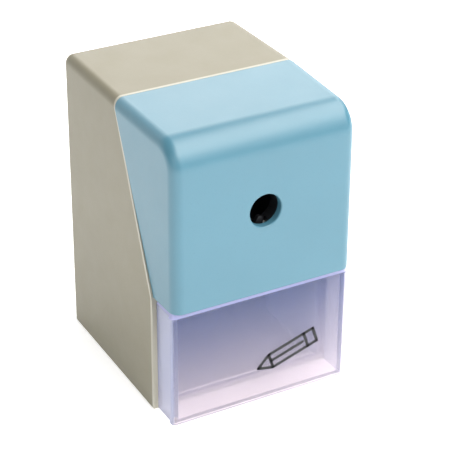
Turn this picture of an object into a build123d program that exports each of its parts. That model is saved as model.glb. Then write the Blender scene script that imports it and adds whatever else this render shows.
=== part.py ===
from build123d import *
from math import acos, atan2, cos, hypot, pi, radians, sin, tan
import os

# A battery pencil sharpener that stands on a desk. Millimetres, +Z up, front towards -Y.
# The origin is at the centre of the foot print. "Depth" is the distance behind the hood's
# front face, and most pieces are placed by depth, x and z.

# overall size
HEIGHT = 82.0
TOTAL_DEPTH = 63.6
HOOD_FRONT = -TOTAL_DEPTH / 2  # y of the hood's front face
REAR = TOTAL_DEPTH  # depth of the rear face
WALL = 2.0
SHELL_BOTTOM = 0.3  # the shell's rim stands this far above the desk
PLATE_BOTTOM = 1.0  # underside of the base plate, and thickness of the rubber feet
PLATE_THICK = 1.6
SPARE = 10.0  # how far construction shapes run past what they cut

# hood: widest and highest at the seam, drafted towards the front
HOOD_HALF_FRONT = 26.05
HOOD_HALF_SEAM = 26.7
HOOD_TOP_FRONT = 81.2
HOOD_BOTTOM = 34.5
BROW_RADIUS = 8.0
HOOD_EDGE_RADIUS = 2.9

# rear shell: widest at its front edge, drafted towards the rear
SHELL_HALF_FRONT = 26.75
SHELL_HALF_REAR = 25.9
SHELL_TOP_REAR = 82.0
SHELL_EDGE_RADIUS = 2.6

# seam between hood and shell, seen from the side: upright, then slanting back to the top
SEAM_FOOT_DEPTH = 11.0
SEAM_TOP_DEPTH = 31.3
SEAM_KINK_HEIGHT = 34.0
SEAM_ROUNDING = 14.0
SEAM_GAP = 0.15

# drawer
DRAWER_FACE_HALF = 26.25
DRAWER_FACE_DEPTH = 1.2  # the drawer's face is set back this far under the hood
DRAWER_FACE_THICK = 1.8
DRAWER_HALF = 25.6
DRAWER_BOTTOM = 0.3
DRAWER_TOP = 34.3
DRAWER_LIP = (0.8, 1.5)  # bevel round the drawer's top edge: inwards, downwards
DRAWER_BACK = 36.4
DRAWER_INNER_HALF = 22.3
DRAWER_WALL = 1.5
DRAWER_CORNER = 1.15
DRAWER_FLOOR = 3.0  # underside of the part behind the shell's front edge

# pencil axis and cutting head
AXIS_HEIGHT = 58.1
HOLE_RADIUS = 4.5
GUIDE_RADIUS = 4.75
GUIDE_SPIGOT, GUIDE_FLANGE = 6.0, 8.5  # outer radii of the pencil guide
CARRIER_HOLE_RADIUS = 5.2
BEARING_RADIUS = 4.2
CUTTER_TILT = 11.0
CUTTER_RADIUS = 6.0
CUTTER_LENGTH = 15.3
CUTTER_START = 14.75  # depth of the centre of the cutter's front end
CUTTER_AXLE_RADIUS = 1.25
CUTTER_HUB_RADIUS = 2.6
FLUTES = 12
HELIX_TWIST = 70  # degrees that a blade turns along the cutter

# gears: module and teeth
PRESSURE = radians(20)
RING_MODULE, RING_TEETH, PLANET_TEETH = 0.75, 45, 16
WHEEL_MODULE, WHEEL_TEETH, SMALL_TEETH = 0.7, 40, 10
FAST_MODULE, LARGE_TEETH, PINION_TEETH = 0.5, 36, 8
PLANET_DEPTH = 8.6  # depth of the planet gear's centre
PLANET_WIDTH = 2.4
RING_WIDTH = 3.1
RING_OUTSIDE = 19.3
WHEEL_DEPTH = 31.2
WHEEL_WIDTH = 3.0
CARRIER_DISC = 15.2  # radius of the carrier's front disc
CARRIER_HUB = 10.9  # radius of the seat inside the carrier's gear
CARRIER_POST = 1.7  # half the width of the posts that join the two

# mechanism frame
DECK_HEIGHT = 35.6
DECK_THICK = 1.6
FRONT_PLATE_DEPTH = 4.6
FRONT_PLATE_THICK = 1.4
MOTOR_PLATE_DEPTH = 37.8
MOTOR_PLATE_THICK = 2.0

# compound gear and motor axes, as (x, z)
WHEEL_TO_COMPOUND = WHEEL_MODULE * (WHEEL_TEETH + SMALL_TEETH) / 2
COMPOUND_TO_MOTOR = FAST_MODULE * (LARGE_TEETH + PINION_TEETH) / 2
COMPOUND_BEARING = 42.52  # direction from the pencil axis to the compound gear, degrees
MOTOR_BEARING = 185.0  # direction from the compound gear to the motor, degrees
COMPOUND = (
    WHEEL_TO_COMPOUND * cos(radians(COMPOUND_BEARING)),
    AXIS_HEIGHT + WHEEL_TO_COMPOUND * sin(radians(COMPOUND_BEARING)),
)
MOTOR = (
    COMPOUND[0] + COMPOUND_TO_MOTOR * cos(radians(MOTOR_BEARING)),
    COMPOUND[1] + COMPOUND_TO_MOTOR * sin(radians(MOTOR_BEARING)),
)
COMPOUND_AXLE = 1.0
MOTOR_RADIUS = 10.2
MOTOR_HALF_FLAT = 7.7
MOTOR_FRONT = 39.9
MOTOR_LENGTH = 17.5
MOTOR_BORE = 7.3
MOTOR_BOSS = 3.0
SHAFT_RADIUS = 0.75
ARMATURE_RADIUS = 6.3
ARMATURE_LENGTH = 9.5

# start lever and its switch
LEVER_PIVOT = (-10.5, 48.4)
LEVER_DEPTH, LEVER_THICK = 3.1, 1.2
LEVER_PIN = 0.8
SWITCH_X = (-7.1, 1.1)
SWITCH_DEPTHS = (2.7, 5.3)
SWITCH_Z = (39.2, 45.2)
PLUNGER_X = -3.0
PLUNGER_HALF = 1.0

# circuit board behind the drawer
BOARD_FRONT = 40.3
BOARD_THICK = 1.6
BOARD_HALF = 17.5
BOARD_HOLES = [(-15.5, 30.5), (15.5, 30.5)]

# battery bay
CELL_RADIUS = 7.15
CELL_LENGTH = 48.8
CELL_NUB = 1.4
CELL_BOTTOM = 6.2
CELL_X = 7.5
CELL_DEPTH = 52.9
SPRING_WIRE = 0.25
BOX_HALF = 16.2
BOX_FRONT, BOX_BACK = 44.2, 61.3
BOX_BOTTOM, BOX_TOP = 3.0, 58.5
BOX_WALL = 1.2
DOOR_HALF = 16.8
DOOR_BOTTOM, DOOR_TOP = 4.4, 59.6
DOOR_THICK = 1.8

# fasteners: places as (x, z), screws along Y
HOOD_SCREWS = [(-19.3, 41.2), (19.3, 41.2), (-19.3, 74.2), (19.3, 74.2)]
FRAME_SCREWS = [(-20.3, 74.5), (20.3, 54.0), (-20.3, 42.5), (20.3, 42.5)]
EAR_REACH = 20.6
RING_SCREWS = [
    (EAR_REACH * cos(radians(a)), AXIS_HEIGHT + EAR_REACH * sin(radians(a)))
    for a in (45, 135, 225, 315)
]
MOTOR_SCREWS = [(MOTOR[0] - 5.2, MOTOR[1]), (MOTOR[0] + 5.2, MOTOR[1])]
BASE_SCREWS = [(-20.3, 43.0), (20.3, 43.0), (-20.3, 57.0), (20.3, 57.0)]  # x, depth
HOOD_BOSS, HOOD_PILOT, HOOD_CLEAR = 2.3, 0.9, 1.2  # radii
FRAME_BOSS, FRAME_PILOT, FRAME_CLEAR = 2.5, 1.15, 1.4
BASE_BOSS_HEIGHT = 28.0
BASE_HEAD_RADIUS, BASE_HEAD_LENGTH = 2.1, 0.85
RING_BOSS, RING_PILOT, RING_CLEAR = 2.3, 1.0, 1.1
FEET = [(-18.5, 17.5), (18.5, 17.5), (-13.0, 56.5), (13.0, 56.5)]  # x, depth
FOOT_RADIUS = 4.0


def facing(depth):
    """Plane across the sharpener at a depth, with x to the right and z up."""
    return Plane(origin=(0, HOOD_FRONT + depth, 0), x_dir=(1, 0, 0), z_dir=(0, -1, 0))


def bars(depth, length, places, radius, mode=Mode.ADD):
    """Round bars along Y, from a depth towards the rear, at (x, z) places."""
    with BuildSketch(facing(depth)) as section:
        with Locations(*places):
            Circle(radius)
    extrude(section.sketch, amount=-length, mode=mode)


def posts(bottom, height, places, radius, mode=Mode.ADD):
    """Upright round posts at (x, depth) places."""
    with BuildSketch(Plane.XY.offset(bottom)) as section:
        with Locations(*[(x, HOOD_FRONT + depth) for x, depth in places]):
            Circle(radius)
    extrude(section.sketch, amount=height, mode=mode)


def block(across, depths, heights, mode=Mode.ADD):
    """Box between two x values, two depths and two heights."""
    size = [b - a for a, b in (across, depths, heights)]
    middle = [(a + b) / 2 for a, b in (across, depths, heights)]
    with Locations((middle[0], HOOD_FRONT + middle[1], middle[2])):
        Box(*size, mode=mode)


def screws(seat, side, places, head, shank):
    """Cross-head screws along Y, with the heads before (-1) or behind (1) the seat's depth."""
    head_radius, head_length = head
    shank_radius, shank_length = shank
    bars(min(seat, seat + side * head_length), head_length, places, head_radius)
    bars(min(seat, seat - side * shank_length), shank_length, places, shank_radius)
    for angle in (0, 90):
        with BuildSketch(facing(seat + side * head_length)) as slot:
            with Locations(*places):
                Rectangle(head_radius * 1.1, head_radius * 0.24, rotation=angle)
        extrude(slot.sketch, amount=side * head_length * 0.6, mode=Mode.SUBTRACT)


def involute(angle):
    return tan(angle) - angle


def gear_outline(teeth, module, tip, root, slack, centre, phase):
    """Points of a gear with one tooth centred on the phase, in degrees."""
    pitch = module * teeth / 2
    base = pitch * cos(PRESSURE)
    points = []
    for tooth in range(teeth):
        middle = radians(phase) + 2 * pi * tooth / teeth
        for side, radii in ((-1, (root, pitch, tip)), (1, (tip, pitch, root))):
            for radius in radii:
                lean = involute(PRESSURE) - involute(acos(min(1, base / radius)))
                half = pi / (2 * teeth) - slack / (2 * pitch) + lean
                turn = middle + side * half
                points.append((centre[0] + radius * cos(turn), centre[1] + radius * sin(turn)))
    return points


def gear(depth, width, outline, mode=Mode.ADD):
    """Toothed solid from a depth towards the rear."""
    with BuildSketch(facing(depth)) as section:
        with BuildLine():
            Polyline(*outline, close=True)
        make_face()
    extrude(section.sketch, amount=-width, mode=mode)


def drafted_form(plan, side, first_edge, first_radius, radius):
    """Solid inside a plan outline and a side outline, with its outer edges rounded."""
    with BuildPart() as form:
        with BuildSketch(Plane.XY.offset(-SPARE)):
            Polygon(*[(x, HOOD_FRONT + depth) for x, depth in plan], align=None)
        extrude(amount=HEIGHT + 2 * SPARE)
        with BuildSketch(Plane.YZ) as profile:
            Polygon(*[(HOOD_FRONT + depth, z) for depth, z in side], align=None)
        extrude(profile.sketch, amount=2 * SHELL_HALF_FRONT, both=True, mode=Mode.INTERSECT)
        if first_radius:
            fillet(form.edges().filter_by(first_edge), radius=first_radius)
        box = form.part.bounding_box()
        open_y = box.max.Y if first_radius else box.min.Y
        rounded = [
            edge
            for edge in form.edges()
            if edge.center().Z > box.min.Z + 0.5
            and abs(edge.center().Y - open_y) > 0.5
            and (abs(edge.center().X) > SHELL_HALF_REAR - 6 or not first_radius)
        ]
        fillet(rounded, radius=radius)
    return form.part


def hood_form(inset):
    """Space inside the hood's outer faces, shrunk by an inset and running on past the seam."""
    rear = SEAM_TOP_DEPTH + SPARE
    draft = (HOOD_HALF_SEAM - HOOD_HALF_FRONT) / SEAM_TOP_DEPTH
    half_front = HOOD_HALF_FRONT - inset + draft * inset
    half_rear = HOOD_HALF_FRONT - inset + draft * rear
    slope = (HEIGHT - HOOD_TOP_FRONT) / SEAM_TOP_DEPTH
    plan = [(-half_front, inset), (half_front, inset), (half_rear, rear), (-half_rear, rear)]
    side = [
        (inset, HOOD_BOTTOM - SPARE - inset),
        (inset, HOOD_TOP_FRONT - inset + slope * inset),
        (rear, HOOD_TOP_FRONT - inset + slope * rear),
        (rear, HOOD_BOTTOM - SPARE - inset),
    ]

    def brow(edge):
        middle = edge.center()
        return middle.Z > HOOD_TOP_FRONT - inset - 1 and middle.Y < HOOD_FRONT + inset + 0.1

    return drafted_form(plan, side, brow, BROW_RADIUS - inset, HOOD_EDGE_RADIUS - inset * 0.95)


def shell_form(inset):
    """Space inside the rear shell's outer faces, shrunk by an inset and open in front."""
    front = SEAM_FOOT_DEPTH / 2 - inset
    rear = REAR - inset
    draft = (SHELL_HALF_FRONT - SHELL_HALF_REAR) / (REAR - SEAM_FOOT_DEPTH)
    half_front = SHELL_HALF_FRONT - inset + draft * (SEAM_FOOT_DEPTH - front)
    half_rear = SHELL_HALF_REAR - inset + draft * inset
    slope = (HEIGHT - SHELL_TOP_REAR) / (REAR - SEAM_TOP_DEPTH)
    plan = [(-half_front, front), (half_front, front), (half_rear, rear), (-half_rear, rear)]
    side = [
        (front, SHELL_BOTTOM - inset),
        (front, HEIGHT - inset + slope * (SEAM_TOP_DEPTH - front)),
        (rear, SHELL_TOP_REAR - inset + slope * inset),
        (rear, SHELL_BOTTOM - inset),
    ]
    return drafted_form(plan, side, None, 0, SHELL_EDGE_RADIUS - inset * 0.95)


def behind_seam(forward):
    """Side outline of everything behind the seam, moved forward by a gap."""
    foot_y = HOOD_FRONT + SEAM_FOOT_DEPTH - forward
    run = SEAM_TOP_DEPTH - SEAM_FOOT_DEPTH
    rise = HEIGHT - SEAM_KINK_HEIGHT
    length = hypot(run, rise)
    lean = (run / length, rise / length)
    reach = SEAM_ROUNDING * tan(atan2(run, rise) / 2)
    bend_top = (foot_y + lean[0] * reach, SEAM_KINK_HEIGHT + lean[1] * reach)
    bend_foot = (foot_y, SEAM_KINK_HEIGHT - reach)
    over = length + SPARE
    top = (foot_y + lean[0] * over, SEAM_KINK_HEIGHT + lean[1] * over)
    far = HOOD_FRONT + REAR + SPARE
    with BuildSketch(Plane.YZ) as side:
        with BuildLine():
            Line(top, bend_top)
            TangentArc(bend_top, bend_foot, tangent=(-lean[0], -lean[1]))
            Polyline(bend_foot, (foot_y, -SPARE), (far, -SPARE), (far, top[1]), top)
        make_face()
    return side.sketch


def cutter_plane(along):
    """Plane across the tilted cutter axis, a distance along it from the cutter's front end."""
    tilt = radians(CUTTER_TILT)
    drop = tan(tilt) * (CUTTER_START - PLANET_DEPTH)
    start_z = AXIS_HEIGHT + PLANET_OFFSET - drop
    centre = (
        0,
        HOOD_FRONT + CUTTER_START + along * cos(tilt),
        start_z - along * sin(tilt),
    )
    return Plane(origin=centre, x_dir=(1, 0, 0), z_dir=(0, -cos(tilt), sin(tilt)))


RING_PITCH = RING_MODULE * RING_TEETH / 2
PLANET_PITCH = RING_MODULE * PLANET_TEETH / 2
PLANET_OFFSET = RING_PITCH - PLANET_PITCH * cos(radians(CUTTER_TILT))

hood_outside = hood_form(0)
hood_inside = hood_form(WALL)
shell_outside = shell_form(0)
shell_inside = shell_form(WALL)
seam_for_shell = behind_seam(0)
seam_for_hood = behind_seam(SEAM_GAP)

with BuildPart() as front_hood:
    add(hood_outside)
    add(hood_inside, mode=Mode.SUBTRACT)
    bars(WALL / 2, FRONT_PLATE_DEPTH - WALL / 2, HOOD_SCREWS, HOOD_BOSS)
    extrude(seam_for_hood, amount=TOTAL_DEPTH, both=True, mode=Mode.SUBTRACT)
    block(
        (-TOTAL_DEPTH, TOTAL_DEPTH), (-SPARE, TOTAL_DEPTH), (0, HOOD_BOTTOM), mode=Mode.SUBTRACT
    )
    bars(1.3, SPARE, HOOD_SCREWS, HOOD_PILOT, mode=Mode.SUBTRACT)
    bars(-1, WALL + 2, [(0, AXIS_HEIGHT)], HOLE_RADIUS, mode=Mode.SUBTRACT)
    rim = [
        edge
        for edge in front_hood.edges().filter_by(GeomType.CIRCLE)
        if abs(edge.center().Y - HOOD_FRONT) < 0.01 and abs(edge.radius - HOLE_RADIUS) < 0.01
    ]
    fillet(rim, radius=0.4)
front_hood.part.label = "front_hood"
export = [front_hood]

with BuildPart() as rear_shell:
    add(shell_outside)
    add(shell_inside, mode=Mode.SUBTRACT)
    boss_length = REAR - WALL - MOTOR_FRONT + 0.6
    boss_bottom = PLATE_BOTTOM + PLATE_THICK + 0.1
    web_reach = SHELL_HALF_REAR - WALL + 0.5
    bars(MOTOR_FRONT, boss_length, FRAME_SCREWS, FRAME_BOSS)
    posts(boss_bottom, BASE_BOSS_HEIGHT, BASE_SCREWS, FRAME_BOSS)
    for x, depth in BASE_SCREWS:
        web = sorted((x, x * web_reach / abs(x)))
        block(web, (depth - 0.7, depth + 0.7), (boss_bottom, boss_bottom + BASE_BOSS_HEIGHT))
    extrude(seam_for_shell, amount=TOTAL_DEPTH, both=True, mode=Mode.INTERSECT)
    bars(MOTOR_FRONT - 1, 12, FRAME_SCREWS, FRAME_PILOT, mode=Mode.SUBTRACT)
    posts(PLATE_BOTTOM, 12, BASE_SCREWS, FRAME_PILOT, mode=Mode.SUBTRACT)
    opening_depths = (REAR - WALL - 1, REAR + 1)
    door_gap = 0.2
    block(
        (-DOOR_HALF - door_gap, DOOR_HALF + door_gap),
        opening_depths,
        (DOOR_BOTTOM - door_gap, DOOR_TOP + door_gap),
        mode=Mode.SUBTRACT,
    )
rear_shell.part.label = "rear_shell"
export.append(rear_shell)

step = SEAM_FOOT_DEPTH - 0.35  # the drawer narrows here, to pass inside the shell
with BuildPart() as shavings_drawer:
    face_back = DRAWER_FACE_DEPTH + DRAWER_FACE_THICK
    block(
        (-DRAWER_FACE_HALF, DRAWER_FACE_HALF),
        (DRAWER_FACE_DEPTH, face_back),
        (DRAWER_BOTTOM, DRAWER_TOP),
    )
    face_edges = shavings_drawer.edges().filter_by(Axis.Z).group_by(Axis.Y)[0]
    fillet(face_edges, radius=DRAWER_CORNER)
    fillet(shavings_drawer.edges().group_by(Axis.Z)[0].sort_by(Axis.Y)[:5], radius=0.6)
    top_face = shavings_drawer.faces().sort_by(Axis.Z)[-1]
    bevel_in, bevel_down = DRAWER_LIP
    lip = top_face.edges().sort_by(Axis.Y)[:-1]
    chamfer(lip, length=bevel_in, length2=bevel_down, reference=top_face)
    with BuildSketch(facing(face_back - 0.1)) as section:
        Polygon(
            (-DRAWER_HALF, DRAWER_BOTTOM + 0.3), (DRAWER_HALF, DRAWER_BOTTOM + 0.3),
            (DRAWER_HALF, DRAWER_TOP - bevel_down), (DRAWER_HALF - bevel_in, DRAWER_TOP),
            (bevel_in - DRAWER_HALF, DRAWER_TOP), (-DRAWER_HALF, DRAWER_TOP - bevel_down),
            align=None,
        )
    extrude(section.sketch, amount=face_back - 0.1 - step)
    block(
        (-DRAWER_INNER_HALF, DRAWER_INNER_HALF),
        (step - 1, DRAWER_BACK),
        (DRAWER_FLOOR, DRAWER_TOP - 0.4),
    )
    w = DRAWER_WALL
    block(
        (-DRAWER_HALF + w, DRAWER_HALF - w),
        (DRAWER_FACE_DEPTH + w, step - w),
        (DRAWER_BOTTOM + w, DRAWER_TOP + 1),
        mode=Mode.SUBTRACT,
    )
    block(
        (-DRAWER_INNER_HALF + w, DRAWER_INNER_HALF - w),
        (step - w - 1, DRAWER_BACK - w),
        (DRAWER_FLOOR + w, DRAWER_TOP + 1),
        mode=Mode.SUBTRACT,
    )
shavings_drawer.part.label = "shavings_drawer"
export.append(shavings_drawer)

with BuildPart() as base_plate:
    gap = 0.25
    plan_front = SHELL_HALF_FRONT - WALL - gap
    plan_rear = SHELL_HALF_REAR - WALL - gap
    y_front = HOOD_FRONT + SEAM_FOOT_DEPTH + 0.2
    y_rear = HOOD_FRONT + REAR - WALL - gap
    with BuildSketch(Plane.XY.offset(PLATE_BOTTOM)) as outline:
        Polygon(
            (-plan_front, y_front), (plan_front, y_front),
            (plan_rear, y_rear), (-plan_rear, y_rear), align=None,
        )
    extrude(outline.sketch, amount=PLATE_THICK)
    rail_inner = DRAWER_INNER_HALF + 0.3
    rib_bottom = PLATE_BOTTOM + PLATE_THICK - 0.1
    for side in (-1, 1):
        rail = sorted((side * rail_inner, side * (rail_inner + 0.8)))
        block(rail, (SEAM_FOOT_DEPTH + 0.5, DRAWER_BACK - 0.4), (rib_bottom, 8))
        board_stop = sorted((side * 12.0, side * 14.0))
        block(board_stop, (BOARD_FRONT - 0.9, BOARD_FRONT + 2.3), (rib_bottom, 6.0))
    posts(0, PLATE_THICK + 2, BASE_SCREWS, FRAME_PILOT + 0.15, mode=Mode.SUBTRACT)
    posts(0, PLATE_BOTTOM + BASE_HEAD_LENGTH + 0.05, BASE_SCREWS, BASE_HEAD_RADIUS + 0.2,
          mode=Mode.SUBTRACT)
base_plate.part.label = "base_plate"
export.append(base_plate)

with BuildPart() as rubber_feet:
    posts(0, PLATE_BOTTOM, FEET, FOOT_RADIUS)
    fillet(rubber_feet.edges().group_by(Axis.Z)[0], radius=0.4)
rubber_feet.part.label = "rubber_feet"
export.append(rubber_feet)

with BuildPart() as base_screws:
    posts(PLATE_BOTTOM + 0.02, BASE_HEAD_LENGTH, BASE_SCREWS, BASE_HEAD_RADIUS)
    posts(PLATE_BOTTOM + BASE_HEAD_LENGTH - 0.05, 8, BASE_SCREWS, FRAME_PILOT - 0.05)
    for x, depth in BASE_SCREWS:
        for angle in (0, 90):
            with BuildSketch(Plane.XY) as slot:
                with Locations((x, HOOD_FRONT + depth)):
                    Rectangle(2.2, 0.5, rotation=angle)
            extrude(slot.sketch, amount=PLATE_BOTTOM + 0.55, mode=Mode.SUBTRACT)
base_screws.part.label = "base_screws"
export.append(base_screws)

with BuildPart() as battery_door:
    block(
        (-DOOR_HALF, DOOR_HALF),
        (REAR - DOOR_THICK, REAR),
        (DOOR_BOTTOM, DOOR_TOP),
    )
    fillet(battery_door.edges().filter_by(Axis.Y), radius=1.2)
    rear_face = battery_door.faces().sort_by(Axis.Y)[-1]
    fillet(rear_face.edges(), radius=0.35)
    for row in range(5):
        z = DOOR_TOP - 10 + row * 1.6
        block((-6, 6), (REAR - 0.5, REAR + 1), (z, z + 0.7), mode=Mode.SUBTRACT)
    for side in (-1, 1):
        inner = DOOR_HALF - 2.0
        block(sorted((side * inner, side * (inner - 0.9))), (REAR - 2.2, REAR - 1), (20, 44))
battery_door.part.label = "battery_door"
export.append(battery_door)

with BuildPart() as battery_box:
    block((-BOX_HALF, BOX_HALF), (BOX_FRONT, BOX_BACK), (BOX_BOTTOM, BOX_TOP))
    block(
        (-BOX_HALF + BOX_WALL, BOX_HALF - BOX_WALL),
        (BOX_FRONT + BOX_WALL, BOX_BACK + 1),
        (BOX_BOTTOM + BOX_WALL, BOX_TOP - BOX_WALL),
        mode=Mode.SUBTRACT,
    )
    cradle = CELL_RADIUS + 0.3
    block((-1.0, 1.0), (BOX_FRONT + 0.5, BOX_FRONT + 4.0), (BOX_BOTTOM + 0.5, BOX_TOP - 0.5))
    posts(BOX_BOTTOM + BOX_WALL, 53.1, [(-CELL_X, CELL_DEPTH), (CELL_X, CELL_DEPTH)],
          cradle, mode=Mode.SUBTRACT)
battery_box.part.label = "battery_box"
export.append(battery_box)

for name, x, up in (("battery_cell_left", -CELL_X, 1), ("battery_cell_right", CELL_X, -1)):
    with BuildPart() as battery_cell:
        posts(CELL_BOTTOM, CELL_LENGTH, [(x, CELL_DEPTH)], CELL_RADIUS)
        fillet(battery_cell.edges(), radius=0.6)
        nub = CELL_BOTTOM + CELL_LENGTH if up > 0 else CELL_BOTTOM - CELL_NUB
        posts(nub, CELL_NUB, [(x, CELL_DEPTH)], 2.6)
    battery_cell.part.label = name
    export.append(battery_cell)

with BuildPart() as battery_springs:
    for x, low in ((-CELL_X, CELL_BOTTOM - 1.25), (CELL_X, CELL_BOTTOM + CELL_LENGTH + 0.35)):
        with BuildLine():
            coil = Helix(
                pitch=0.6, height=0.9, radius=3.4, center=(x, HOOD_FRONT + CELL_DEPTH, low)
            )
        with BuildSketch(Plane(origin=coil @ 0, z_dir=coil % 0)) as wire:
            Circle(SPRING_WIRE)
        sweep(wire.sketch, path=coil, is_frenet=True)
battery_springs.part.label = "battery_springs"
export.append(battery_springs)

with BuildPart() as battery_contacts:
    low = BOX_BOTTOM + BOX_WALL + 0.05
    high = BOX_TOP - BOX_WALL - 0.05
    depths = (CELL_DEPTH - 4.4, CELL_DEPTH + 5)
    block((-CELL_X - 5, CELL_X + 5), depths, (low, low + 0.4))
    for side in (-1, 1):
        block(sorted((side * 2.5, side * (CELL_X + 5))), depths, (high - 0.4, high))
battery_contacts.part.label = "battery_contacts"
export.append(battery_contacts)

with BuildPart() as mechanism_frame:
    plate_top = HOOD_TOP_FRONT - 4.7
    rear_end = MOTOR_PLATE_DEPTH + MOTOR_PLATE_THICK
    deck_top = DECK_HEIGHT + DECK_THICK
    block((-22, 22), (FRONT_PLATE_DEPTH, rear_end), (DECK_HEIGHT, deck_top))
    block((-14, 14), (13, 30.5), (DECK_HEIGHT - 1, deck_top + 1), mode=Mode.SUBTRACT)
    front_depths = (FRONT_PLATE_DEPTH, FRONT_PLATE_DEPTH + FRONT_PLATE_THICK)
    block((-21.8, 21.8), front_depths, (deck_top - 0.2, plate_top))
    block((-22.6, 22.6), (MOTOR_PLATE_DEPTH, rear_end), (deck_top - 0.2, 78.4))
    for side in (-1, 1):
        rib = sorted((side * 20.8, side * 22.0))
        block(rib, (8.0, MOTOR_PLATE_DEPTH + 0.5), (deck_top - 0.2, 40.2))
    standoff = 8.2 - front_depths[1]
    bars(front_depths[1] - 0.2, standoff + 0.2, RING_SCREWS, RING_BOSS)
    bars(FRONT_PLATE_DEPTH - 1, 9, RING_SCREWS, RING_PILOT, mode=Mode.SUBTRACT)
    bars(FRONT_PLATE_DEPTH - 1, 5, HOOD_SCREWS, HOOD_CLEAR, mode=Mode.SUBTRACT)
    bars(FRONT_PLATE_DEPTH - 1, 5, [(0, AXIS_HEIGHT)], GUIDE_SPIGOT + 0.05, mode=Mode.SUBTRACT)
    block((-8.4, 2.6), (FRONT_PLATE_DEPTH - 1, 7), (deck_top + 0.4, 48.0), mode=Mode.SUBTRACT)
    bars(MOTOR_PLATE_DEPTH - 1, 5, FRAME_SCREWS, FRAME_CLEAR, mode=Mode.SUBTRACT)
    bars(MOTOR_PLATE_DEPTH - 1, 5, [(0, AXIS_HEIGHT)], BEARING_RADIUS + 0.05, mode=Mode.SUBTRACT)
    bars(MOTOR_PLATE_DEPTH - 1, 5, [MOTOR], MOTOR_BOSS + 0.15, mode=Mode.SUBTRACT)
    bars(MOTOR_PLATE_DEPTH - 1, 5, MOTOR_SCREWS, 1.1, mode=Mode.SUBTRACT)
    bars(MOTOR_PLATE_DEPTH - 1, 5, [COMPOUND], COMPOUND_AXLE + 0.03, mode=Mode.SUBTRACT)
    bars(FRONT_PLATE_DEPTH - 1, 5, [LEVER_PIVOT], LEVER_PIN + 0.03, mode=Mode.SUBTRACT)
mechanism_frame.part.label = "mechanism_frame"
export.append(mechanism_frame)

with BuildPart() as frame_screws:
    screws(MOTOR_PLATE_DEPTH - 0.02, -1, FRAME_SCREWS, (2.1, 1.2), (1.1, 9.0))
frame_screws.part.label = "frame_screws"
export.append(frame_screws)

with BuildPart() as hood_screws:
    screws(front_depths[1] + 0.02, 1, HOOD_SCREWS, (1.9, 1.1), (0.85, 4.4))
hood_screws.part.label = "hood_screws"
export.append(hood_screws)

with BuildPart() as pencil_guide:
    bars(2.25, 1.0, [(0, AXIS_HEIGHT)], GUIDE_FLANGE)
    bars(2.25, 3.65, [(0, AXIS_HEIGHT)], GUIDE_SPIGOT)
    bars(1, 8, [(0, AXIS_HEIGHT)], GUIDE_RADIUS, mode=Mode.SUBTRACT)
    block((-2.3, 2.3), (2.0, 4.9), (AXIS_HEIGHT - 9, AXIS_HEIGHT), mode=Mode.SUBTRACT)
pencil_guide.part.label = "pencil_guide"
export.append(pencil_guide)

ring_depth = front_depths[1] + standoff + 0.02
with BuildPart() as ring_gear:
    bars(ring_depth, RING_WIDTH, [(0, AXIS_HEIGHT)], RING_OUTSIDE)
    bars(ring_depth, RING_WIDTH, RING_SCREWS, RING_BOSS + 0.4)
    space = gear_outline(
        RING_TEETH, RING_MODULE, RING_PITCH + 1.05, RING_PITCH - 0.5,
        -0.16, (0, AXIS_HEIGHT), 90,
    )
    gear(ring_depth - 1, 5.5, space, mode=Mode.SUBTRACT)
    bars(ring_depth - 1, 6, RING_SCREWS, RING_CLEAR, mode=Mode.SUBTRACT)
ring_gear.part.label = "ring_gear"
export.append(ring_gear)

with BuildPart() as ring_screws:
    screws(ring_depth + RING_WIDTH + 0.02, 1, RING_SCREWS, (1.7, 1.0), (0.95, 6.4))
ring_screws.part.label = "ring_screws"
export.append(ring_screws)

with BuildPart() as cutter_carrier:
    bars(11.3, 2.0, [(0, AXIS_HEIGHT)], CARRIER_DISC)
    bars(WHEEL_DEPTH, WHEEL_WIDTH, [(0, AXIS_HEIGHT)], CARRIER_HUB)
    for x, z in ((9.0, 0), (-9.0, 0), (0, -9.0)):
        block(
            (x - CARRIER_POST, x + CARRIER_POST), (11.5, WHEEL_DEPTH + 1),
            (AXIS_HEIGHT + z - CARRIER_POST, AXIS_HEIGHT + z + CARRIER_POST),
        )
    bars(WHEEL_DEPTH + WHEEL_WIDTH, 5.4, [(0, AXIS_HEIGHT)], 2.95)
    bars(10, 5, [(0, AXIS_HEIGHT)], CARRIER_HOLE_RADIUS, mode=Mode.SUBTRACT)
    bars(WHEEL_DEPTH - 1, 3.6, [(0, AXIS_HEIGHT)], 1.6, mode=Mode.SUBTRACT)
    with BuildSketch(cutter_plane(-8)) as hub_hole:
        Circle(CUTTER_HUB_RADIUS + 0.15)
    extrude(hub_hole.sketch, amount=-8, mode=Mode.SUBTRACT)
    with BuildSketch(cutter_plane(CUTTER_LENGTH)) as axle_hole:
        Circle(CUTTER_AXLE_RADIUS + 0.02)
    extrude(axle_hole.sketch, amount=-8, mode=Mode.SUBTRACT)
cutter_carrier.part.label = "cutter_carrier"
export.append(cutter_carrier)

wheel_pitch = WHEEL_MODULE * WHEEL_TEETH / 2
with BuildPart() as carrier_gear:
    teeth = gear_outline(
        WHEEL_TEETH, WHEEL_MODULE, wheel_pitch + 0.55, wheel_pitch - 0.85, 0.08,
        (0, AXIS_HEIGHT), COMPOUND_BEARING,
    )
    gear(WHEEL_DEPTH, WHEEL_WIDTH, teeth)
    bars(WHEEL_DEPTH - 1, 6, [(0, AXIS_HEIGHT)], CARRIER_HUB + 0.03, mode=Mode.SUBTRACT)
carrier_gear.part.label = "carrier_gear"
export.append(carrier_gear)

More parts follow.
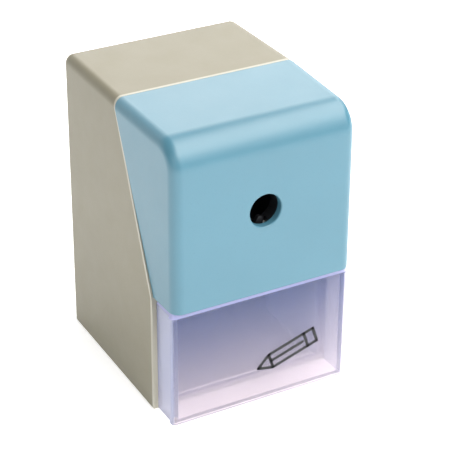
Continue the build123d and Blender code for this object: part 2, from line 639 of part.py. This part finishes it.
planet_along = (PLANET_DEPTH - CUTTER_START) / cos(radians(CUTTER_TILT))
with BuildPart() as cutter_gear:
    planet = gear_outline(
        PLANET_TEETH, RING_MODULE, PLANET_PITCH + 0.5, PLANET_PITCH - 0.9, 0.16, (0, 0), 90
    )
    with BuildSketch(cutter_plane(planet_along - PLANET_WIDTH / 2)) as section:
        with BuildLine():
            Polyline(*planet, close=True)
        make_face()
        Circle(CUTTER_HUB_RADIUS + 0.02, mode=Mode.SUBTRACT)
    extrude(section.sketch, amount=-PLANET_WIDTH)
cutter_gear.part.label = "cutter_gear"
export.append(cutter_gear)

with BuildPart() as helical_cutter:
    flute = []
    for tooth in range(FLUTES):
        turn = 360 * tooth / FLUTES
        for radius, lead in ((CUTTER_RADIUS, 0), (CUTTER_RADIUS, 6), (CUTTER_RADIUS - 0.9, 14)):
            angle = radians(turn + lead)
            flute.append((radius * cos(angle), radius * sin(angle)))
    cutter_end = cutter_plane(CUTTER_LENGTH)
    with BuildSketch(cutter_end) as blades:
        with BuildLine():
            Polyline(*flute, close=True)
        make_face()
    add(
        Solid.extrude_linear_with_rotation(
            blades.sketch.face(), cutter_end.origin, cutter_end.z_dir * CUTTER_LENGTH, HELIX_TWIST
        )
    )
    hub_length = -planet_along + PLANET_WIDTH / 2 + 0.3
    with BuildSketch(cutter_plane(0.2)) as hub:
        Circle(CUTTER_HUB_RADIUS)
    extrude(hub.sketch, amount=hub_length)
    with BuildSketch(cutter_plane(CUTTER_LENGTH + 1)) as bore:
        Circle(CUTTER_AXLE_RADIUS + 0.05)
    extrude(bore.sketch, amount=CUTTER_LENGTH + 12, mode=Mode.SUBTRACT)
helical_cutter.part.label = "helical_cutter"
export.append(helical_cutter)

with BuildPart() as cutter_axle:
    with BuildSketch(cutter_plane(CUTTER_LENGTH + 4.4)) as section:
        Circle(CUTTER_AXLE_RADIUS)
    extrude(section.sketch, amount=CUTTER_LENGTH + 4.4 - planet_along + PLANET_WIDTH / 2 + 0.2)
cutter_axle.part.label = "cutter_axle"
export.append(cutter_axle)

with BuildPart() as rear_bearing:
    bars(MOTOR_PLATE_DEPTH - 0.7, 0.65, [(0, AXIS_HEIGHT)], 6.0)
    bars(MOTOR_PLATE_DEPTH - 0.3, 2.2, [(0, AXIS_HEIGHT)], BEARING_RADIUS)
    bars(MOTOR_PLATE_DEPTH - 2, 6, [(0, AXIS_HEIGHT)], 3.0, mode=Mode.SUBTRACT)
rear_bearing.part.label = "rear_bearing"
export.append(rear_bearing)

large_pitch = FAST_MODULE * LARGE_TEETH / 2
small_pitch = WHEEL_MODULE * SMALL_TEETH / 2
pinion_pitch = FAST_MODULE * PINION_TEETH / 2
with BuildPart() as compound_gear:
    small = gear_outline(
        SMALL_TEETH, WHEEL_MODULE, small_pitch + 0.5, small_pitch - 0.85, 0.08,
        COMPOUND, COMPOUND_BEARING + 180 + 180 / SMALL_TEETH,
    )
    gear(WHEEL_DEPTH, WHEEL_WIDTH + 0.7, small)
    large = gear_outline(
        LARGE_TEETH, FAST_MODULE, large_pitch + 0.38, large_pitch - 0.62, 0.06,
        COMPOUND, MOTOR_BEARING,
    )
    gear(WHEEL_DEPTH + WHEEL_WIDTH + 0.6, 2.0, large)
    bars(WHEEL_DEPTH - 1, 9, [COMPOUND], COMPOUND_AXLE + 0.06, mode=Mode.SUBTRACT)
compound_gear.part.label = "compound_gear"
export.append(compound_gear)

with BuildPart() as compound_axle:
    bars(WHEEL_DEPTH - 0.5, MOTOR_PLATE_DEPTH + 1.8 - WHEEL_DEPTH, [COMPOUND], COMPOUND_AXLE)
compound_axle.part.label = "compound_axle"
export.append(compound_axle)

with BuildPart() as motor_pinion:
    fast = gear_outline(
        PINION_TEETH, FAST_MODULE, pinion_pitch + 0.38, pinion_pitch - 0.62, 0.06,
        MOTOR, MOTOR_BEARING + 180 + 180 / PINION_TEETH,
    )
    gear(WHEEL_DEPTH + WHEEL_WIDTH + 0.4, 2.8, fast)
    bars(WHEEL_DEPTH, 9, [MOTOR], SHAFT_RADIUS + 0.02, mode=Mode.SUBTRACT)
motor_pinion.part.label = "motor_pinion"
export.append(motor_pinion)

with BuildPart() as motor_can:
    with BuildSketch(facing(MOTOR_FRONT)) as section:
        with Locations(MOTOR):
            Circle(MOTOR_RADIUS)
            Rectangle(4 * MOTOR_HALF_FLAT, 2 * MOTOR_HALF_FLAT, mode=Mode.INTERSECT)
    extrude(section.sketch, amount=-MOTOR_LENGTH)
    bars(MOTOR_FRONT - 1.3, 1.5, [MOTOR], MOTOR_BOSS)
    bars(MOTOR_FRONT + 0.8, MOTOR_LENGTH, [MOTOR], MOTOR_BORE, mode=Mode.SUBTRACT)
    bars(MOTOR_FRONT - 2, 5, [MOTOR], SHAFT_RADIUS + 0.1, mode=Mode.SUBTRACT)
    bars(MOTOR_FRONT - 1, 5, MOTOR_SCREWS, 0.7, mode=Mode.SUBTRACT)
motor_can.part.label = "motor_can"
export.append(motor_can)

with BuildPart() as motor_screws:
    screws(MOTOR_PLATE_DEPTH - 0.02, -1, MOTOR_SCREWS, (1.7, 0.8), (0.65, 2.7))
motor_screws.part.label = "motor_screws"
export.append(motor_screws)

with BuildPart() as motor_armature:
    bars(MOTOR_FRONT + 3.0, ARMATURE_LENGTH, [MOTOR], ARMATURE_RADIUS)
    for angle in (90, 210, 330):
        reach = ARMATURE_RADIUS - 1.1
        slot = (MOTOR[0] + reach * cos(radians(angle)), MOTOR[1] + reach * sin(radians(angle)))
        bars(MOTOR_FRONT + 2, 12, [slot], 1.7, mode=Mode.SUBTRACT)
    bars(MOTOR_FRONT + ARMATURE_LENGTH + 2.8, 3.2, [MOTOR], 2.4)
    bars(MOTOR_FRONT, 18, [MOTOR], SHAFT_RADIUS + 0.02, mode=Mode.SUBTRACT)
motor_armature.part.label = "motor_armature"
export.append(motor_armature)

with BuildPart() as motor_shaft:
    bars(WHEEL_DEPTH + WHEEL_WIDTH + 0.4, 24.8, [MOTOR], SHAFT_RADIUS)
motor_shaft.part.label = "motor_shaft"
export.append(motor_shaft)

with BuildPart() as motor_endcap:
    cap_depth = MOTOR_FRONT + MOTOR_LENGTH + 0.03
    with BuildSketch(facing(cap_depth)) as section:
        with Locations(MOTOR):
            Circle(MOTOR_RADIUS - 0.4)
            Rectangle(4 * MOTOR_HALF_FLAT, 2 * MOTOR_HALF_FLAT - 0.8, mode=Mode.INTERSECT)
    extrude(section.sketch, amount=-1.8)
    bars(cap_depth + 1.5, 1.2, [MOTOR], 2.6)
    bars(cap_depth - 1, 3.4, [MOTOR], SHAFT_RADIUS + 0.05, mode=Mode.SUBTRACT)
motor_endcap.part.label = "motor_endcap"
export.append(motor_endcap)

with BuildPart() as start_lever:
    px, pz = LEVER_PIVOT
    arm_low, arm_high = pz - 0.9, pz + 0.9
    bars(LEVER_DEPTH, LEVER_THICK, [LEVER_PIVOT], 2.1)
    block((px, 0.9), (LEVER_DEPTH, LEVER_DEPTH + LEVER_THICK), (arm_low, arm_high))
    with BuildSketch(facing(LEVER_DEPTH)) as nose:
        Polygon(
            (-1.7, arm_high - 0.1), (0.9, arm_high - 0.1), (0.9, 54.4), (0.4, 55.1),
            (-0.4, 55.1), (-1.3, 53.6), align=None,
        )
    extrude(nose.sketch, amount=-LEVER_THICK)
    bars(LEVER_DEPTH - 1, 4, [LEVER_PIVOT], LEVER_PIN + 0.06, mode=Mode.SUBTRACT)
start_lever.part.label = "start_lever"
export.append(start_lever)

with BuildPart() as lever_pin:
    bars(2.35, 3.4, [LEVER_PIVOT], LEVER_PIN)
lever_pin.part.label = "lever_pin"
export.append(lever_pin)

with BuildPart() as start_switch:
    block(SWITCH_X, SWITCH_DEPTHS, SWITCH_Z)
    fillet(start_switch.edges().filter_by(Axis.Y), radius=0.4)
    block(
        (PLUNGER_X - PLUNGER_HALF - 0.05, PLUNGER_X + PLUNGER_HALF + 0.05),
        (SWITCH_DEPTHS[0] + 0.5, SWITCH_DEPTHS[1] - 0.5),
        (SWITCH_Z[1] - 2.6, SWITCH_Z[1] + 1),
        mode=Mode.SUBTRACT,
    )
start_switch.part.label = "start_switch"
export.append(start_switch)

with BuildPart() as start_plunger:
    block(
        (PLUNGER_X - PLUNGER_HALF, PLUNGER_X + PLUNGER_HALF),
        (SWITCH_DEPTHS[0] + 0.55, SWITCH_DEPTHS[1] - 0.55),
        (SWITCH_Z[1] - 1.5, arm_low - 0.05),
    )
start_plunger.part.label = "start_plunger"
export.append(start_plunger)

with BuildPart() as control_board:
    block((-BOARD_HALF, BOARD_HALF), (BOARD_FRONT, BOARD_FRONT + BOARD_THICK), (6.05, 33))
    bars(BOARD_FRONT - 1, BOARD_THICK + 2, BOARD_HOLES, 1.3, mode=Mode.SUBTRACT)
control_board.part.label = "control_board"
export.append(control_board)

with BuildPart() as board_parts:
    front_of_board = BOARD_FRONT - 0.03
    for across, thick, heights in (
        ((-14, -9), 1.3, (12, 17)), ((-14.5, -8.5), 2.6, (22, 28)), ((8.5, 14.5), 2.6, (22, 28)),
        ((3.5, 5.1), 0.5, (10, 10.8)), ((3.5, 5.1), 0.5, (13, 13.8)), ((7.5, 9.1), 0.5, (10, 10.8)),
    ):
        block(across, (front_of_board - thick, front_of_board), heights)
    with BuildSketch(Plane.XY.offset(11)) as can:
        with Locations((12.0, HOOD_FRONT + front_of_board - 1.7)):
            Circle(1.7)
    extrude(can.sketch, amount=7)
board_parts.part.label = "board_parts"
export.append(board_parts)

with BuildPart() as drawer_switch:
    block((-4.1, 4.1), (BOARD_FRONT - 2.85, BOARD_FRONT - 0.03), (14, 20))
    block((-1.05, 1.05), (BOARD_FRONT - 4, BOARD_FRONT - 1), (16.2, 17.8), mode=Mode.SUBTRACT)
drawer_switch.part.label = "drawer_switch"
export.append(drawer_switch)

with BuildPart() as drawer_plunger:
    block((-1.0, 1.0), (DRAWER_BACK + 0.08, BOARD_FRONT - 1.6), (16.25, 17.75))
drawer_plunger.part.label = "drawer_plunger"
export.append(drawer_plunger)

os.makedirs("parts", exist_ok=True)
for piece in export:
    export_step(piece.part, f"parts/{piece.part.label}.step")
print("pieces", len(export))
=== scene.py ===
import math

import bmesh
import bpy
from mathutils import Matrix, Vector


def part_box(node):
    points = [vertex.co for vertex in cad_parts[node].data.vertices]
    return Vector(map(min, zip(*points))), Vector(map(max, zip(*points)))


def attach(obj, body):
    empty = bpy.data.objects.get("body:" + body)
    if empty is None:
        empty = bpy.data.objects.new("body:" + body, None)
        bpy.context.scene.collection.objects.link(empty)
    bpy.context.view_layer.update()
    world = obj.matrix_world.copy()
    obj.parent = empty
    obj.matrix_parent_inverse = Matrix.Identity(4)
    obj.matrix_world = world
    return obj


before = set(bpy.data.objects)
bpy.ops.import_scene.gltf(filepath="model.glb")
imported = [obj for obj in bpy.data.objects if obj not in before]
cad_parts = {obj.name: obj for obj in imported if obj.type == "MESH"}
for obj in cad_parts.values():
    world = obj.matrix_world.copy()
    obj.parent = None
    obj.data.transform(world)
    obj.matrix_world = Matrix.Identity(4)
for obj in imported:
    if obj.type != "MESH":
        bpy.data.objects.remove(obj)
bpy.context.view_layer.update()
MM = 0.001

# Base colours in linear light for the hood and the shell, and a painted highlight on the
# shell's edge at the seam.
BLUE = (0.075, 0.215, 0.29)
BEIGE = (0.185, 0.168, 0.104)
SEAM_HIGHLIGHT = (0.42, 0.405, 0.33)

# The seam, in metres: how far it stands behind the hood's front, how far its kink lies under
# the hood, and the distances behind it between which the painted highlight on the edge ends.
SEAM_SETBACK = 0.011
SEAM_DROP = 0.0005
SEAM_BAND = (0.0007, 0.0011)

# The drawer, in metres: the heights over which painted shade deepens towards its top, and where
# the painted highlight on its lip starts.
SHADE_RISE = (0.004, 0.032)
LIP_EDGE = (0.0326, 0.0329)

# The part of the light that the drawer scatters, and what the painted highlights on the lip and
# the sides add to it.
HAZE = 0.3
HAZE_SPREAD = 0.02
LIP_HIGHLIGHT = 0.55
SIDE_HIGHLIGHT = 0.22
# The painted highlight on the sides sets in as a face turns sideways.
SIDE_TURN = (0.3, 0.8)  # how far a face is turned to the side, where that sets in
# Painted shade: how far the clear colour is darkened at the top.
TOP_SHADE = 0.8
SHADOW_PASS = 0.9


# ---------------------------------------------------------------- materials
class Nodes:
    """A node material being built: its principled shader and short calls to add nodes."""

    def __init__(self, name):
        self.material = bpy.data.materials.new(name)
        self.material.use_nodes = True
        self.tree = self.material.node_tree
        self.shader = self.tree.nodes["Principled BSDF"]
        self.coords = self.tree.nodes.new("ShaderNodeTexCoord")

    def add(self, kind, **settings):
        """A new node. A setting is a property of the node or the value of an input."""
        node = self.tree.nodes.new(kind)
        for key, value in settings.items():
            if hasattr(node, key):
                setattr(node, key, value)
            else:
                node.inputs[key.replace("_", " ")].default_value = value
        return node

    def link(self, source, target):
        self.tree.links.new(source, target)

    def place(self, scale):
        """Object coordinates, drawn out by a scale on each axis."""
        mapping = self.add("ShaderNodeMapping", Scale=scale)
        self.link(self.coords.outputs["Object"], mapping.inputs["Vector"])
        return mapping.outputs["Vector"]

    def noise(self, scale, detail=2.0, rough=0.5, vector=None):
        node = self.add("ShaderNodeTexNoise", Scale=scale, Detail=detail, Roughness=rough)
        self.link(vector or self.coords.outputs["Object"], node.inputs["Vector"])
        return node.outputs["Fac"]

    def span(self, value, low, high, start=0.3, end=0.7):
        """A value mapped from start..end to low..high, and held there past both ends."""
        node = self.add("ShaderNodeMapRange", From_Min=start, From_Max=end,
                        To_Min=low, To_Max=high)
        self.link(value, node.inputs["Value"])
        return node.outputs["Result"]

    def blend(self, factor, a, b):
        """Colour a where the factor is 0 and colour b where it is 1."""
        node = self.add("ShaderNodeMix", data_type="RGBA")
        self.link(factor, node.inputs["Factor"])
        for value, socket in ((a, node.inputs[6]), (b, node.inputs[7])):
            if isinstance(value, tuple):
                socket.default_value = (*value[:3], 1)
            else:
                self.link(value, socket)
        return node.outputs[2]

    def calc(self, operation, a, b=0.0):
        """Result of an arithmetic node on sockets or plain numbers."""
        node = self.add("ShaderNodeMath", operation=operation)
        for value, socket in zip((a, b), node.inputs):
            if isinstance(value, (int, float)):
                socket.default_value = value
            else:
                self.link(value, socket)
        return node.outputs[0]

    def plane(self, normal, offset):
        """Distance in front of a plane, in the object's metres."""
        dot = self.add("ShaderNodeVectorMath", operation="DOT_PRODUCT")
        self.link(self.coords.outputs["Object"], dot.inputs[0])
        dot.inputs[1].default_value = normal
        return self.calc("ADD", dot.outputs["Value"], offset)

    def mix(self, factor, first, second):
        """Two shaders mixed: only the first shows at 0, only the second at 1."""
        node = self.add("ShaderNodeMixShader")
        self.link(factor, node.inputs["Fac"])
        self.link(first, node.inputs[1])
        self.link(second, node.inputs[2])
        return node.outputs[0]

    def surface(self, shader):
        self.link(shader, self.tree.nodes["Material Output"].inputs["Surface"])

    def bump(self, height, strength, depth):
        node = self.add("ShaderNodeBump", Strength=strength, Distance=depth)
        self.link(height, node.inputs["Height"])
        self.link(node.outputs["Normal"], self.shader.inputs["Normal"])

    def set(self, **values):
        for key, value in values.items():
            self.shader.inputs[key.replace("_", " ")].default_value = value


def srgb(text):
    values = [int(text[i:i + 2], 16) / 255 for i in (1, 3, 5)]
    return tuple(v / 12.92 if v <= 0.04045 else ((v + 0.055) / 1.055) ** 2.4 for v in values)


def shade(colour, factor):
    return tuple(min(1.0, c * factor) for c in colour)


def seam_distance(m):
    """Distance behind the seam: upright beside the drawer, then slanting back to the top."""
    low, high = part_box("front_hood")
    foot = low.y + SEAM_SETBACK
    kink = low.z - SEAM_DROP
    slant = (high.y - foot) / (high.z - kink)
    length = math.hypot(1, slant)
    upright = m.plane((0, 1, 0), -foot)
    slanted = m.plane((0, 1 / length, -slant / length), (slant * kink - foot) / length)
    return m.calc("MINIMUM", upright, slanted)


def moulded(name, colour, rough, grain, mottle=0.025, coat=0.0, sheen=0.5, seam_highlight=None):
    """Injection-moulded plastic: spark-eroded grain, slow flow mottle, faint handling marks.

    With a highlight colour, the plastic has that colour in a narrow band behind the seam,
    a painted highlight on the edge there.
    """
    m = Nodes(name)
    slow = m.span(m.noise(34, 3, 0.6), 0, 1, 0.35, 0.65)
    base = m.blend(slow, shade(colour, 1 - mottle), shade(colour, 1 + mottle * 0.6))
    specks = m.span(m.noise(2600, 1, 0.5), 0, 1, 0.62, 0.72)
    base = m.blend(specks, base, shade(colour, 0.95))
    # Painted highlight: a light band on the edge behind the seam, where it catches the light.
    if seam_highlight:
        base = m.blend(m.span(seam_distance(m), 1, 0, *SEAM_BAND), base, seam_highlight)
    m.link(base, m.shader.inputs["Base Color"])
    wear = m.noise(150, 5, 0.65)
    m.link(m.span(wear, rough - 0.02, rough + 0.03), m.shader.inputs["Roughness"])
    m.bump(m.noise(2100, 3, 0.6), grain, 0.00004)
    m.set(Specular_IOR_Level=sheen, Coat_Weight=coat, Coat_Roughness=0.25)
    return m.material


def metal(name, colour, rough=0.3, brushed=(1, 40, 40), stain=0.08):
    """Turned or plated metal with a fine directional lay."""
    m = Nodes(name)
    lay = m.noise(90, 3, 0.7, m.place(scale=brushed))
    tone = m.span(m.noise(260, 4, 0.6), 0, 1)
    m.link(m.blend(tone, shade(colour, 1 - stain), shade(colour, 1 + stain / 2)),
           m.shader.inputs["Base Color"])
    m.link(m.span(lay, rough - 0.07, rough + 0.1), m.shader.inputs["Roughness"])
    m.bump(lay, 0.25, 0.00002)
    m.set(Metallic=1.0)
    return m.material


def rubber(name, colour):
    m = Nodes(name)
    dust = m.span(m.noise(700, 4, 0.7), 0, 1, 0.45, 0.75)
    m.link(m.blend(dust, colour, shade(colour, 1.7)), m.shader.inputs["Base Color"])
    m.link(m.span(dust, 0.62, 0.85, 0, 1), m.shader.inputs["Roughness"])
    m.bump(m.noise(1600, 4, 0.7), 0.6, 0.00006)
    return m.material


def frosted(name, clear, haze_shaded_top, haze_lit_bottom, lip_highlight_colour, side_highlight_colour):
    """Frosted polypropylene: light goes through warm, and what the plastic scatters is blue.

    The scattered colour carries painted light and shade: lighter at the bottom and darker
    towards the top, where the clear colour is darkened too. Painted highlights on the lip and
    on the left and right sides give them lighter colours of their own, and they scatter more.
    """
    m = Nodes(name)
    height = m.plane((0, 0, 1), 0)
    # Painted shade: the drawer is darker towards its top and lighter towards its bottom.
    top_shade_mask = m.span(height, 0, 1, *SHADE_RISE)
    # Painted highlight along the top of the lip.
    lip_highlight_mask = m.span(height, 0, 1, *LIP_EDGE)
    # Painted highlight on the faces turned to the left and right.
    facing = m.add("ShaderNodeSeparateXYZ")
    m.link(m.coords.outputs["Normal"], facing.inputs[0])
    side = m.span(m.calc("ABSOLUTE", facing.outputs["X"]), 0, 1, *SIDE_TURN)

    # Painted shade: the clear colour is darkened towards the top.
    m.link(m.blend(top_shade_mask, clear, shade(clear, TOP_SHADE)), m.shader.inputs["Base Color"])
    m.link(m.span(m.noise(190, 4, 0.6), 0.09, 0.15), m.shader.inputs["Roughness"])
    m.bump(m.noise(1400, 2, 0.6), 0.15, 0.00002)
    m.set(Transmission_Weight=1.0, IOR=1.45)

    milk = m.add("ShaderNodeBsdfPrincipled", Roughness=0.35)
    # The scattered colour carries the painted shade and the painted highlights.
    tone = m.blend(side, m.blend(top_shade_mask, haze_lit_bottom, haze_shaded_top), side_highlight_colour)
    m.link(m.blend(lip_highlight_mask, tone, lip_highlight_colour), milk.inputs["Base Color"])

    patches = m.span(m.noise(45, 2, 0.5), HAZE - HAZE_SPREAD, HAZE + HAZE_SPREAD)
    # Painted highlights: the lip and the sides scatter more of their lighter colour.
    highlight_amount = m.calc("MAXIMUM", m.span(lip_highlight_mask, 0, LIP_HIGHLIGHT, 0, 1), m.span(side, 0, SIDE_HIGHLIGHT, 0, 1))
    amount = m.calc("ADD", patches, highlight_amount)
    body = m.mix(amount, m.shader.outputs["BSDF"], milk.outputs["BSDF"])

    # Most of the lamps' light passes, so that the drawer is bright inside.
    path = m.add("ShaderNodeLightPath")
    passed = m.calc("MULTIPLY", path.outputs["Is Shadow Ray"], SHADOW_PASS)
    through = m.add("ShaderNodeBsdfTransparent")
    m.surface(m.mix(passed, body, through.outputs["BSDF"]))
    return m.material


def board(name):
    m = Nodes(name)
    weave = m.noise(900, 2, 0.5, m.place(scale=(1, 1, 3)))
    green = srgb("#14532c")
    m.link(m.blend(m.span(weave, 0, 1), shade(green, 0.8), shade(green, 1.25)),
           m.shader.inputs["Base Color"])
    m.bump(weave, 0.2, 0.00004)
    m.set(Roughness=0.32)
    return m.material


def winding(name):
    """Enamelled copper wire wound on steel laminations."""
    m = Nodes(name)
    turns = m.add("ShaderNodeTexWave", wave_type="BANDS", bands_direction="Y", Scale=550)
    m.link(m.coords.outputs["Object"], turns.inputs["Vector"])
    m.link(m.blend(turns.outputs["Fac"], srgb("#7c3a1c"), srgb("#c8743a")),
           m.shader.inputs["Base Color"])
    m.bump(turns.outputs["Fac"], 0.6, 0.0001)
    m.set(Metallic=0.85, Roughness=0.34)
    return m.material


looks = {
    "hood_plastic": moulded("hood_blue", BLUE, 0.36, 0.35, sheen=0.72),
    "shell_plastic": moulded("shell_beige", BEIGE, 0.42, 0.45, sheen=0.65, seam_highlight=SEAM_HIGHLIGHT),
    "drawer_plastic": frosted(
        "drawer_frosted",
        clear=(1.0, 0.94, 0.92),
        haze_shaded_top=(0.05, 0.10, 0.32),
        haze_lit_bottom=(0.46, 0.42, 0.53),
        lip_highlight_colour=(0.50, 0.50, 0.80),
        side_highlight_colour=(0.50, 0.54, 0.74),
    ),
    "inner_plastic": moulded("inner_white", srgb("#d6d5cf"), 0.5, 0.5),
    "black_plastic": moulded("black_moulding", srgb("#1c1d20"), 0.45, 0.5),
    "white_plastic": moulded("white_moulding", srgb("#e6e5df"), 0.4, 0.3),
    "gear_plastic": moulded("acetal", srgb("#e9e7da"), 0.3, 0.2),
    "rubber": rubber("rubber_black", srgb("#232323")),
    "screw_steel": metal("zinc_plate", srgb("#a9abae"), 0.34),
    "spring_steel": metal("nickel_plate", srgb("#c9c9c6"), 0.2),
    "cutter_steel": metal("ground_steel", srgb("#8f9092"), 0.26),
    "motor_steel": metal("motor_zinc", srgb("#b4b4b0"), 0.3),
    "brass": metal("turned_brass", srgb("#c79a4c"), 0.3),
    "copper": winding("copper_winding"),
    "circuit_board": board("solder_resist"),
    "cell_wrap": moulded("cell_foil", srgb("#2b3038"), 0.25, 0.1, coat=0.5),
}
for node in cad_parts.values():
    for material_slot in node.material_slots:
        material_slot.material = looks[material_slot.material.name.split(".")[0]]


# ---------------------------------------------------------------- pieces
def piece(name, build, material, body):
    """A new mesh piece riding on a body, filled in by a bmesh function."""
    mesh = bpy.data.meshes.new(name)
    bm = bmesh.new()
    build(bm)
    bmesh.ops.recalc_face_normals(bm, faces=bm.faces)
    bm.to_mesh(mesh)
    bm.free()
    obj = bpy.data.objects.new(name, mesh)
    bpy.context.scene.collection.objects.link(obj)
    mesh.materials.append(material)
    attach(obj, body)


def prism(bm, outline, y_back, y_front):
    """Solid plate facing the front, from (x, z) points."""
    back = [bm.verts.new((x, y_back, z)) for x, z in outline]
    front = [bm.verts.new((x, y_front, z)) for x, z in outline]
    bm.faces.new(back)
    bm.faces.new(front)
    count = len(outline)
    for i in range(count):
        j = (i + 1) % count
        bm.faces.new((back[i], back[j], front[j], front[i]))


def stroke(bm, a, b, width, y_back, y_front):
    """Straight stroke with round ends between two (x, z) points."""
    turn = math.atan2(b[1] - a[1], b[0] - a[0])
    steps = 8  # in each round end
    outline = []
    for centre, start in ((b, turn - math.pi / 2), (a, turn + math.pi / 2)):
        for i in range(steps + 1):
            angle = start + math.pi * i / steps
            outline.append((centre[0] + width / 2 * math.cos(angle),
                            centre[1] + width / 2 * math.sin(angle)))
    prism(bm, outline, y_back, y_front)


DRAWER_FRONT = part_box("shavings_drawer")[0].y
MARK_CENTRE = Vector((0.0082, 0.0135))
MARK_TILT = math.radians(18)
MARK_LINE = 0.85 * MM
MARK_GAP = 0.00001
MARK_FACE = 0.00006

# Millimetres along and across the drawn pencil, from its centre.
TIP, SHOULDER, EDGE_END, BAND, END = -9.5, -5.5, 4.6, 5.6, 8.5
HALF = 2.2


def pencil_mark(bm):
    """A plain line drawing of a pencil, printed low on the right of the drawer."""
    along = Vector((math.cos(MARK_TILT), math.sin(MARK_TILT)))
    across = Vector((-along.y, along.x))

    def at(u, v):
        p = MARK_CENTRE + along * u * MM + across * v * MM
        return (p.x, p.y)

    for a, b in (
        ((TIP, 0), (SHOULDER, HALF)), ((TIP, 0), (SHOULDER, -HALF)),
        ((SHOULDER, HALF), (SHOULDER, -HALF)),
        ((SHOULDER, HALF), (END, HALF)), ((SHOULDER, -HALF), (END, -HALF)),
        ((END, HALF), (END, -HALF)),
        ((SHOULDER, 0), (EDGE_END, 0)), ((BAND, HALF), (BAND, -HALF)),
    ):
        stroke(bm, at(*a), at(*b), MARK_LINE, DRAWER_FRONT - MARK_GAP, DRAWER_FRONT - MARK_FACE)


mark_ink = moulded("printing_ink", srgb("#17181c"), 0.5, 0.2)
piece("drawer_mark", pencil_mark, mark_ink, "drawer")


# ---------------------------------------------------------------- stage
def floor_material():
    """Pale paper, lit from behind a little, and clear from below so the underside shows."""
    m = Nodes("stage_white")
    tone = m.span(m.noise(6, 2, 0.5), 0, 1)
    m.link(m.blend(tone, (0.88, 0.88, 0.88), (0.9, 0.9, 0.9)), m.shader.inputs["Base Color"])
    m.set(Roughness=0.9, Emission_Strength=0.65)
    m.shader.inputs["Emission Color"].default_value = (1, 1, 1, 1)
    side = m.add("ShaderNodeNewGeometry")
    from_below = m.add("ShaderNodeBsdfTransparent")
    m.surface(m.mix(
        side.outputs["Backfacing"], m.shader.outputs["BSDF"], from_below.outputs["BSDF"],
    ))
    return m.material


FLOOR_HALF = 3.0
FLOOR_BACK = 1.4
FLOOR_RISE = 1.6
FLOOR_SWEEP = 0.6
SWEEP_STEPS = 12
FLOOR_GAP = 0.00005


def sweep_floor():
    """A pale floor that curves up into a backdrop, in metres."""
    mesh = bpy.data.meshes.new("studio_floor")
    bm = bmesh.new()
    bend = FLOOR_BACK - FLOOR_SWEEP
    profile = [(-FLOOR_HALF, 0.0), (bend, 0.0)]
    for i in range(1, SWEEP_STEPS + 1):
        angle = math.pi / 2 * i / SWEEP_STEPS
        profile.append((bend + FLOOR_SWEEP * math.sin(angle),
                        FLOOR_SWEEP - FLOOR_SWEEP * math.cos(angle)))
    profile.append((FLOOR_BACK, FLOOR_RISE))
    rows = [[bm.verts.new((x, y, z - FLOOR_GAP)) for y, z in profile]
            for x in (-FLOOR_HALF, FLOOR_HALF)]
    for i in range(len(profile) - 1):
        bm.faces.new((rows[0][i], rows[1][i], rows[1][i + 1], rows[0][i + 1]))
    bm.to_mesh(mesh)
    bm.free()
    obj = bpy.data.objects.new("studio_floor", mesh)
    bpy.context.scene.collection.objects.link(obj)
    mesh.materials.append(floor_material())


sweep_floor()


def area(name, location, target, size, power, colour=(1, 1, 1)):
    """A softbox aimed at a point. Its size is across the tilt, then along it."""
    light = bpy.data.lights.new(name, "AREA")
    light.shape = "RECTANGLE"
    light.size, light.size_y = size
    light.energy = power
    light.color = colour
    obj = bpy.data.objects.new(name, light)
    bpy.context.scene.collection.objects.link(obj)
    obj.location = location
    obj.rotation_mode = "QUATERNION"
    obj.rotation_quaternion = (Vector(target) - Vector(location)).to_track_quat("-Z", "Y")


area("light_top", (0.42, -0.28, 0.84), (0, 0, 0.07), (1.7, 0.65), 20.0, (1.0, 0.985, 0.96))
area("light_back", (0.46, 0.80, 0.52), (0, 0, 0.08), (0.8, 0.45), 3.1, (1.0, 0.97, 0.95))
area("light_front_left", (-0.75, -0.68, 0.5), (0, 0, 0.04), (0.5, 0.5), 1.5)
area("light_front_right", (0.45, -0.85, 0.50), (0, 0, 0.05), (0.9, 0.45), 2.1)

world = bpy.data.worlds.new("studio")
bpy.context.scene.world = world
world.use_nodes = True
sky = world.node_tree.nodes["Background"]
sky.inputs["Color"].default_value = (1, 1, 1, 1)
sky.inputs["Strength"].default_value = 0.1
bpy.context.scene.view_settings.view_transform = "Standard"


# ---------------------------------------------------------------- camera
azimuth, elevation, roll = (math.radians(a) for a in (-28.942, 28.99, 0.267))
distance = 0.43796
back = Vector((
    math.sin(azimuth) * math.cos(elevation),
    -math.cos(azimuth) * math.cos(elevation),
    math.sin(elevation),
))
target = Vector((-0.011687, -0.0318, 0.057133))
camera_data = bpy.data.cameras.new("camera")
camera_data.lens = 141.96
camera_data.clip_start = 0.01
camera = bpy.data.objects.new("camera", camera_data)
bpy.context.scene.collection.objects.link(camera)
camera.location = target + back * distance
camera.rotation_mode = "QUATERNION"
facing = (-back).to_track_quat("-Z", "Y")
camera.rotation_quaternion = facing @ Matrix.Rotation(roll, 3, "Z").to_quaternion()
bpy.context.scene.camera = camera
